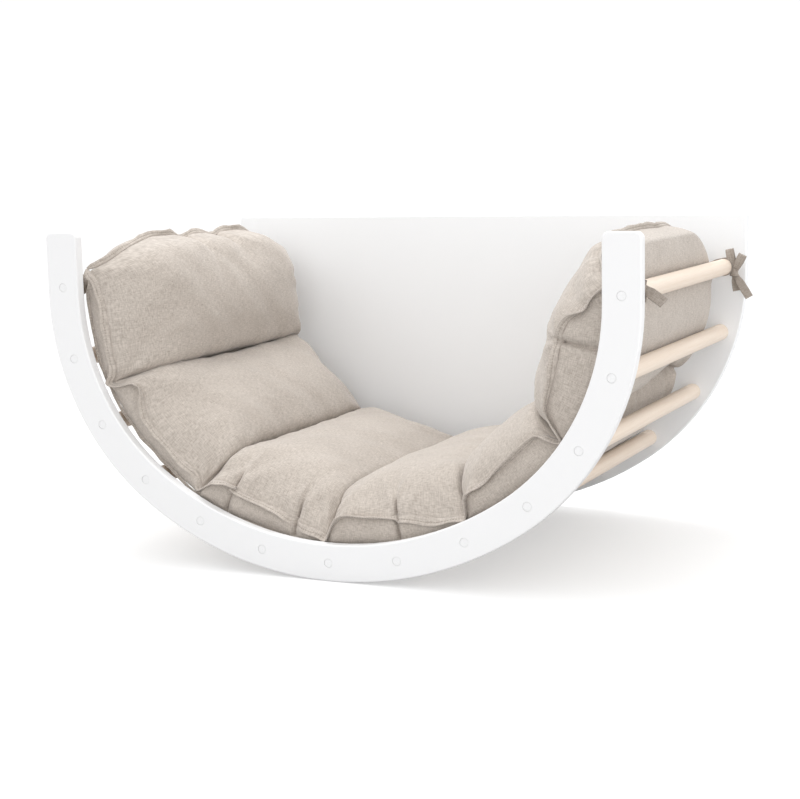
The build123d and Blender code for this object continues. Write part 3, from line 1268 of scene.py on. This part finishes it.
    def build(self) -> None:
        """Make the mattress and its flanged seams."""
        points, along, around, flat = self.rings()
        self.shape_edges(points)
        points += np.random.default_rng(7).normal(0.0, self.unevenness, points.shape)
        start = points.copy()
        points = self.settle(start, self.fill(points, flat))
        points = self.settle(start, self.gather(points))
        form = Shell()
        self.close(form, points, along, around)
        pad = form.build("mattress", self.wardrobe.linen)
        self.crease(pad.data, points.shape[1])
        smoother = pad.modifiers.new("finer", "SUBSURF")
        smoother.levels = smoother.render_levels = 1
        finish_piece(pad, Slot.LINEN, *(chamber.node for chamber in CHAMBERS))
        self.flanges(points)
        self.corners: dict[tuple[int, str], np.ndarray] = {}
        for side, end in ((-1, 0), (1, -1)):
            for row, column in (("front", 0), ("rear", -1)):
                upper = points[end, self.top_row[column]]
                lower = points[end, self.bottom_row[-1 - column]]
                self.corners[side, row] = upper * 0.6 + lower * 0.4

    def crease(self, mesh: bpy.types.Mesh, size: int) -> None:
        """Keep the cross seams sharp under the smoothing.

        Args:
            mesh: the mattress's mesh, whose corners run ring by ring.
            size: how many points a ring has.
        """
        columns = (*self.top_row, *self.bottom_row)
        seam = {row * size + column for row in self.seam_rows for column in columns}
        sharp = [float(edge.vertices[0] in seam and edge.vertices[1] in seam) for edge in mesh.edges]
        mesh.edge_creases_ensure().data.foreach_set("value", sharp)

    def close(self, form: Shell, points: np.ndarray, along: np.ndarray, around: np.ndarray) -> None:
        """Add the tube and the two end walls to the mattress's mesh.

        Args:
            form: the mesh being made.
            points: the cross sections' points.
            along: distances along the cloth.
            around: distances round it.
        """
        first = form.tube(points, along, around, capped=False)
        size = points.shape[1]
        n, rows = len(self.cross), self.wall_rows
        around_face = ((0, 0), (1, 0), (1, 1), (0, 1))
        for row, inward in ((0, 1), (points.shape[0] - 1, -1)):
            base = first + row * size
            outward = unit(points[row] - points[row + inward]).mean(axis=0)
            grid = np.empty((rows + 1, n), dtype=int)
            grid[0] = base + self.top_row
            grid[-1] = base + self.bottom_row[::-1]
            grid[1:-1, -1] = base + n + np.arange(rows - 1)
            grid[1:-1, 0] = base + size - 1 - np.arange(rows - 1)
            for i in range(1, rows):
                level = i / rows
                inner = points[row, self.top_row[1:-1]] * (1 - level)
                inner = inner + points[row, self.bottom_row[::-1][1:-1]] * level
                inner = inner + outward * self.belly * math.sin(math.pi * level)
                grid[i, 1:-1] = len(form.points) + np.arange(n - 2)
                form.points.extend(inner.tolist())
            for i in range(rows):
                for k in range(n - 1):
                    face = (grid[i, k], grid[i, k + 1], grid[i + 1, k + 1], grid[i + 1, k])
                    flat = [(self.cross[k + s], self.wall * (i + d) / rows) for s, d in around_face]
                    if inward > 0:
                        face, flat = face[::-1], flat[::-1]
                    form.faces.append(tuple(int(corner) for corner in face))
                    form.cloth.extend(flat)

    def flanges(self, points: np.ndarray) -> None:
        """Sew the flanges on: the front and rear upper seams, both ends and the front lower seam.

        Args:
            points: the mattress's final points.
        """
        size = points.shape[1]
        top, bottom = self.top_row, self.bottom_row
        inner = (points[:, top[3]] + points[:, size - 3]) / 2
        ears = self.rows_at([self.run[row] + self.ear_place for row in self.seam_rows])
        peaks = [*self.tuck_rows, *ears]
        self.flange("flange_front", points[:, top[0]], inner, 11, self.sway, peaks=peaks)
        inner = (points[:, top[-4]] + points[:, top[-1] + 3]) / 2
        self.flange("flange_rear", points[:, top[-1]], inner, 12, self.sway)
        inner = (points[:, bottom[-4]] + points[:, bottom[-1] + 3]) / 2
        lower = points[:, bottom[-1]]
        self.flange("flange_front_lower", lower, inner, 13, self.lower_sway, self.lower_width)
        for name, row, back, seed in (("left", 0, 4, 14), ("right", -1, -5, 15)):
            under = points[row][bottom[::-1]]
            inner = (points[back][top] + under) / 2
            self.flange(f"flange_{name}_end", points[row][top], inner, seed, self.end_sway, self.end_width)

    def flange(
        self,
        name: str,
        line: np.ndarray,
        inner: np.ndarray,
        seed: int,
        sway: float,
        width: float | None = None,
        peaks: Sequence[int] = (),
    ) -> None:
        """Make one standing seam: a thin folded strip with a row of stitches beside its fold.

        Args:
            name: the piece's name.
            line: the seam's points.
            inner: points inside the mattress, one for each of the seam's.
            seed: fixes the strip's waves.
            sway: how far the strip leans to and fro.
            width: the strip's width, or None for the usual one.
            peaks: points of the line where the strip is folded into a peak.
        """
        width = width or self.flange_width
        path = smooth_rows(line, 2)
        run = run_along(path)
        forward = unit(np.gradient(path, axis=0))
        out = smooth_rows(square_to(path - inner, forward), 6)
        side = np.cross(forward, out)
        lean = sway * ripple(run, seed, 0.21)
        out = unit(out * np.cos(lean)[:, None] + side * np.sin(lean)[:, None])
        side = unit(np.cross(forward, out))
        half = self.flange_thickness / 2
        tall = width * (1 + 0.14 * ripple(run, seed + 40, 0.09))
        taper = soft_step(run, 0.0, 0.008) * soft_step(run[-1] - run, 0.0, 0.008)
        tall = tall * (0.35 + 0.65 * taper)
        for peak in peaks:
            tall = tall * (1 + self.peak * near(run, run[peak], self.peak_width))
        section = [*FLANGE_OUTLINE, *((across, -thick) for across, thick in reversed(FLANGE_OUTLINE))]
        strands = [path + out * (across * tall)[:, None] + side * (thick * half) for across, thick in section]
        rings = np.stack(strands, axis=1)
        form = Shell()
        form.tube(rings, run, np.linspace(0, 2.4 * width, len(section) + 1))
        finish_piece(form.build(name, self.wardrobe.linen), Slot.LINEN)
        self.stitches(f"{name}_stitches", path, out, side, tall, half)

    def stitches(
        self, name: str, path: np.ndarray, out: np.ndarray, side: np.ndarray, tall: np.ndarray, half: float
    ) -> None:
        """Lay a row of short thread dashes along both faces of a flange.

        Args:
            name: the piece's name.
            path: the seam's points.
            out: the way out of the mattress at each point.
            side: the flange's thin direction at each point.
            tall: the flange's width at each point.
            half: half of its thickness.
        """
        run, radius = run_along(path), self.thread_radius
        form = Shell()
        turns = np.linspace(0, 2 * np.pi, 5, endpoint=False)
        starts = np.arange(0.006, run[-1] - 0.008, self.stitch_pitch)
        sizes = radius * np.array([0.45, 1.0, 1.0, 0.45])
        for face in (1, -1):
            row = path + out * (0.45 * tall)[:, None] + side * (face * (0.62 * half + radius * 0.35))
            for start in starts:
                spots = start + self.stitch_length * np.array([0.0, 0.25, 0.75, 1.0])
                centre = np.column_stack([np.interp(spots, run, row[:, i]) for i in range(3)])
                lift = np.array([[np.interp(start, run, way[:, i]) for i in range(3)] for way in (out, side)])
                ring = np.cos(turns)[:, None] * lift[0] + np.sin(turns)[:, None] * lift[1]
                rings = centre[:, None, :] + sizes[:, None, None] * ring[None]
                form.tube(rings, spots, np.linspace(0, 0.003, len(turns) + 1))
        finish_piece(form.build(name, self.wardrobe.thread), Slot.LINEN)


# ---------------------------------------------------------------------------------------------
# Ties
# ---------------------------------------------------------------------------------------------


TAPE_OUTLINE = (
    (-1.0, 0.0), (-0.93, 1.0), (-0.78, 1.0), (-0.70, 0.72), (-0.35, 0.8), (0.0, 0.85),
    (0.35, 0.8), (0.70, 0.72), (0.78, 1.0), (0.93, 1.0), (1.0, 0.0),
)
NEAR = np.array([0.0, -1.0, 0.0])


@dataclass(frozen=True)
class Bow:
    """How one bow is tied: each loop and tail has a length and a lean in degrees from straight up.

    Knot_drop is how far the knot sits below the rung's axis.
    """

    loops: tuple[tuple[float, float], ...]
    tails: tuple[tuple[float, float], ...]
    knot_drop: float
    width: float


BOWS = {
    "front": Bow(((0.034, -14.0), (0.030, 200.0)), ((0.024, 186.0), (0.041, 126.0)), -0.011, 0.0165),
    "rear": Bow(((0.040, -12.0), (0.033, 26.0)), ((0.032, 172.0), (0.050, 148.0)), 0.009, 0.0140),
}


@dataclass
class Tape:
    """A narrow folded linen tape swept along a line; its cup is how much it curls where it is pinched."""

    width: float
    thickness: float = 0.0014
    cup: float = 0.35

    def sweep(
        self, form: Shell, points: Sequence[Sequence[float]], flat: Sequence[Sequence[float]], pinch: Callable
    ) -> None:
        """Sweep the tape along a smooth line.

        Args:
            form: the mesh being made.
            points: points that the tape's middle goes through.
            flat: the tape's width direction at each of those points.
            pinch: gives the share of its width at places from 0 to 1.
        """
        path = smooth_line(np.asarray(points, dtype=float), 10)
        wide = unit(smooth_line(np.asarray(flat, dtype=float), 10))
        forward = unit(np.gradient(path, axis=0))
        wide = square_to(wide, forward)
        thin = np.cross(forward, wide)
        run = run_along(path)
        share = pinch(run / run[-1])
        half, thick = self.width / 2 * share, self.thickness / 2
        cup = (1 - share) * self.width * self.cup
        section = [*TAPE_OUTLINE, *((across, -tall) for across, tall in reversed(TAPE_OUTLINE[1:-1]))]
        rings = np.stack(
            [
                path
                + wide * (across * half)[:, None]
                + thin * (tall * thick + cup * across**2)[:, None]
                for across, tall in section
            ],
            axis=1,
        )
        form.tube(rings, run, np.linspace(0, 2.1 * self.width, len(section) + 1))


@dataclass
class Tie:
    """One tie: a strap from the mattress's corner, a turn round the top rung and a bow."""

    node: str
    rung: str
    wardrobe: Wardrobe
    outward: int
    bow: Bow
    corner: np.ndarray
    knot_stand: float = 0.0055
    knot_across: float = 0.0062
    knot_deep: float = 0.0042
    knot_skew: float = 0.0009
    core_width: float = 0.0100
    core_depth: float = 0.0052
    core_half: float = 0.006
    wrap_gap: float = 0.0002
    wrap_skew: float = 0.0012
    loop_open: float = 0.0030
    tail_wave: float = 0.0026

    def __post_init__(self) -> None:
        """Find the rung's axis, the tie's place along it and the knot."""
        low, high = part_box(self.rung)
        tie_low, tie_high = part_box(self.node)
        self.axis = np.array([(low[0] + high[0]) / 2, (tie_low[1] + tie_high[1]) / 2, (low[2] + high[2]) / 2])
        self.radius = (high[0] - low[0]) / 2
        self.tape = Tape(self.bow.width)
        reach, drop = self.radius + self.knot_stand, self.bow.knot_drop
        self.knot = self.axis + (self.outward * math.sqrt(reach**2 - drop**2), 0.0, -drop)

    def direction(self, lean: float) -> tuple[np.ndarray, np.ndarray]:
        """Find a way out of the knot.

        Args:
            lean: the way's lean from straight up, in degrees, away from the arch's middle.

        Returns:
            The way, and the tape's width direction square to it.
        """
        angle = math.radians(lean)
        way = np.array([self.outward * math.sin(angle), 0.0, math.cos(angle)])
        return way, np.array([way[2], 0.0, -way[0]])

    def build(self) -> None:
        """Make the tie."""
        form = Shell()
        self.wrap(form)
        self.strap(form)
        self.knot_wrap(form)
        for i, (length, lean) in enumerate(self.bow.loops):
            self.loop(form, length, lean, i)
        for i, (length, lean) in enumerate(self.bow.tails):
            self.tail(form, length, lean, i)
        finish_piece(form.build(self.node.replace("tie_", "bow_"), self.wardrobe.tie), Slot.TIE, self.node)

    def wrap(self, form: Shell) -> None:
        """Take the tape once round the rung."""
        turns = np.linspace(0, 2 * np.pi, 25)
        reach = self.radius + self.tape.thickness / 2 + self.wrap_gap
        places = [(reach * math.cos(a), self.wrap_skew * math.sin(a), reach * math.sin(a)) for a in turns]
        points = [self.axis + place for place in places]
        self.tape.sweep(form, points, [(0.0, 1.0, 0.0)] * len(points), lambda t: np.full_like(t, 0.96))

    def strap(self, form: Shell) -> None:
        """Run the tape from the mattress's corner to the turn round the rung."""
        start = self.corner
        rim = self.axis + (self.outward * 0.002, 0.0, self.radius + 0.0012)
        middle = start * 0.45 + rim * 0.55 + (0.0, 0.0, 0.003)
        side = (0.0, 1.0, 0.0)
        lean = (-self.outward * 0.5, 0.6, 0.2)
        points = [start, start * 0.75 + middle * 0.25, middle, rim]
        self.tape.sweep(form, points, [lean, lean, side, side], lambda t: 0.7 + 0.26 * t)

    def knot_wrap(self, form: Shell) -> None:
        """Wind the tape round the middle of the bow."""
        turns = np.linspace(0, 2 * np.pi, 17)
        points, flats = [], []
        for a in turns:
            across, deep = self.knot_across * math.cos(a), self.knot_deep * math.sin(a)
            points.append(self.knot + (across, deep, self.knot_skew * math.sin(2 * a)))
            flats.append((0.10 * math.sin(a), 0.0, 1.0))
        self.tape.sweep(form, points, flats, lambda t: np.full_like(t, 0.88))
        core, up = Tape(self.core_width, self.core_depth), (0, 0, self.core_half)
        core.sweep(form, [self.knot - up, self.knot, self.knot + up], [(1, 0, 0)] * 3, np.ones_like)

    def loop(self, form: Shell, length: float, lean: float, number: int) -> None:
        """Make one loop of the bow: out from the knot and back over itself.

        Args:
            form: the mesh being made.
            length: from the knot to the loop's tip.
            lean: the loop's direction in degrees from straight up.
            number: the loop's place in the bow.
        """
        way, cross = self.direction(lean)
        open_by = self.loop_open + 0.0006 * number
        stations = ((0.10, -0.4), (0.35, -1.1), (0.70, -1.25), (0.94, -0.9), (1.0, 0.0))
        points = [self.knot + way * length * a + NEAR * open_by * b for a, b in stations]
        points += [self.knot + way * length * a - NEAR * open_by * b for a, b in reversed(stations[:-1])]
        twist = [cross + NEAR * 0.25 * math.sin(i * 0.7 + number) for i in range(len(points))]
        def widen(t: np.ndarray) -> np.ndarray:
            """Narrow the loop where it enters the knot."""
            return 0.62 + 0.38 * soft_step(np.minimum(t, 1 - t), 0.0, 0.28)

        self.tape.sweep(form, points, twist, widen)

    def tail(self, form: Shell, length: float, lean: float, number: int) -> None:
        """Make one loose end of the bow.

        Args:
            form: the mesh being made.
            length: from the knot to its tip.
            lean: its direction in degrees from straight up.
            number: the tail's place in the bow.
        """
        way, cross = self.direction(lean)
        stations = ((0.08, 0.2), (0.40, 1.0), (0.75, 0.5), (1.0, 0.8))
        face = 1 if number else -1
        points = [self.knot + way * length * a + NEAR * self.tail_wave * b * face for a, b in stations]
        twist = [cross + NEAR * (0.15 + 0.3 * i / 3) for i in range(len(stations))]
        self.tape.sweep(form, points, twist, lambda t: 0.60 + 0.40 * soft_step(t, 0.0, 0.45))


# ---------------------------------------------------------------------------------------------
# Hard parts, studio and camera
# ---------------------------------------------------------------------------------------------


@dataclass
class Structure:
    """The painted panels, the rungs and their screws, which keep their CAD shapes."""

    wardrobe: Wardrobe

    def dress(self) -> None:
        """Give every CAD part its finish."""
        starts = {
            "front_arch": self.wardrobe.paint,
            # The rear board's paint is a brightened copy that stands in for light it does not get: painted
            # light.
            "rear_board": self.wardrobe.board_paint_lifted_against_shade,
            "rung_": self.wardrobe.wood,
            "front_screw_caps": self.wardrobe.cap,
            # The rear caps' plastic is likewise brightened against shade: painted light.
            "rear_screw_caps": self.wardrobe.rear_cap_lifted_against_shade,
            "front_screws": self.wardrobe.steel,
            "rear_screws": self.wardrobe.steel,
        }
        for name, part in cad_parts.items():
            for start, material in starts.items():
                if name.startswith(start):
                    part.data.materials.clear()
                    part.data.materials.append(material)
                    LOG.info("%s: %s", name, material.name)


@dataclass(frozen=True)
class Lamp:
    """One square soft lamp: its place, the point that it faces, its side and its power in watts."""

    name: str
    spot: tuple[float, float, float]
    aim: tuple[float, float, float]
    size: float
    power: float

    def hang(self) -> None:
        """Hang the lamp."""
        light = bpy.data.lights.new(self.name, "AREA")
        light.shape, light.size, light.energy = "SQUARE", self.size, self.power
        lamp = bpy.data.objects.new(self.name, light)
        lamp.location = self.spot
        lamp.rotation_euler = (Vector(self.aim) - Vector(self.spot)).to_track_quat("-Z", "Y").to_euler()
        bpy.context.scene.collection.objects.link(lamp)


@dataclass
class Studio:
    """A white floor and soft light from all round."""

    floor: float = 30.0
    floor_tones: tuple[float, float] = (0.58, 0.60)
    floor_glow: float = 0.46
    sky: float = 0.98
    sky_seen: float = 1.04
    lamps: tuple[Lamp, ...] = (
        Lamp("key", (-1.8, -1.8, 2.6), (0.0, 0.0, 0.25), 2.4, 18.0),
        Lamp("front", (0.9, -3.4, 1.0), (0.0, 0.2, 0.25), 2.2, 19.0),
        Lamp("top", (-0.4, 0.7, 2.6), (0.0, 0.0, 0.2), 1.8, 40.0),
        Lamp("side", (2.5, -0.6, 0.7), (0.3, 0.1, 0.2), 1.8, 17.0),
    )

    def build(self) -> None:
        """Make the floor, the sky and the lamps."""
        form = Shell()
        half = self.floor / 2
        form.points = [(-half, -half, 0.0), (half, -half, 0.0), (half, half, 0.0), (-half, half, 0.0)]
        form.faces = [(0, 1, 2, 3)]
        form.cloth = [(x, y) for x, y, _ in form.points]
        material, graph, shader = new_material("studio_floor")
        tone = graph.ramp(graph.noise(graph.add("TexCoord").outputs["Object"], 3.0, 3.0), 0.2, 0.8)
        seen = graph.add("LightPath").outputs["Is Camera Ray"]
        dark, light = (rgba((grey, grey, grey)) for grey in self.floor_tones)
        graph.wire(shader, {
            "Base Color": graph.mix(tone, dark, light),
            "Roughness": 0.9,
            "Specular IOR Level": 0.1,
            "Emission Color": rgba((1.0, 1.0, 1.0)),
            "Emission Strength": graph.math("MULTIPLY", seen, self.floor_glow),
        })
        form.build("studio_floor", material)
        bpy.context.scene.world = self.make_sky()
        for lamp in self.lamps:
            lamp.hang()

    def make_sky(self) -> bpy.types.World:
        """Make an even sky that looks white and lights a little less than it looks."""
        world = bpy.data.worlds.new("studio_sky")
        world.use_nodes = True
        graph = Graph(world.node_tree)
        seen = graph.add("LightPath").outputs["Is Camera Ray"]
        strength = graph.math("MULTIPLY_ADD", seen, self.sky_seen - self.sky, self.sky)
        background = world.node_tree.nodes["Background"]
        graph.wire(background, {"Color": rgba((1.0, 1.0, 1.0)), "Strength": strength})
        return world


@dataclass
class StudioCamera:
    """The camera, a little right of the open side and slightly above the rim."""

    spot: tuple[float, float, float] = (1.154, -2.532, 0.645)
    heading: float = 24.9
    pitch: float = 8.3
    roll: float = -1.3
    lens: float = 74.4

    def build(self) -> None:
        """Place the camera."""
        data = bpy.data.cameras.new("studio_camera")
        data.lens, data.sensor_width = self.lens, 36.0
        camera = bpy.data.objects.new("studio_camera", data)
        turn = Matrix.Rotation(math.radians(self.heading), 4, "Z")
        turn = turn @ Matrix.Rotation(math.radians(90 - self.pitch), 4, "X")
        turn = turn @ Matrix.Rotation(math.radians(self.roll), 4, "Z")
        camera.matrix_world = Matrix.Translation(self.spot) @ turn
        bpy.context.scene.collection.objects.link(camera)
        scene = bpy.context.scene
        scene.camera = camera
        scene.view_settings.view_transform = "Standard"


def tie_set(wardrobe: Wardrobe, mattress: Mattress) -> list[Tie]:
    """Describe the four ties.

    Args:
        wardrobe: the finishes.
        mattress: the mattress that they hold.

    Returns:
        The ties.
    """
    rungs = sorted(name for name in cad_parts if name.startswith("rung_"))
    centre = {name: sum(corner[0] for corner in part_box(name)) / 2 for name in rungs}
    ends = {-1: min(rungs, key=centre.get), 1: max(rungs, key=centre.get)}
    ties = []
    for side, name in ((-1, "left"), (1, "right")):
        for row, bow in BOWS.items():
            corner = mattress.corners[side, row]
            ties.append(Tie(f"tie_{name}_{row}", ends[side], wardrobe, side, bow, corner))
    return ties


def main() -> None:
    """Build the studio and the cradle's parts in order."""
    logging.basicConfig(level=logging.INFO, format="%(name)s %(message)s")
    StudioCamera().build()
    Studio().build()
    wardrobe = Wardrobe()
    Structure(wardrobe).dress()
    mattress = Mattress(SeatCurve(), wardrobe)
    mattress.build()
    for tie in tie_set(wardrobe, mattress):
        tie.build()


if __name__ == "__main__":
    main()
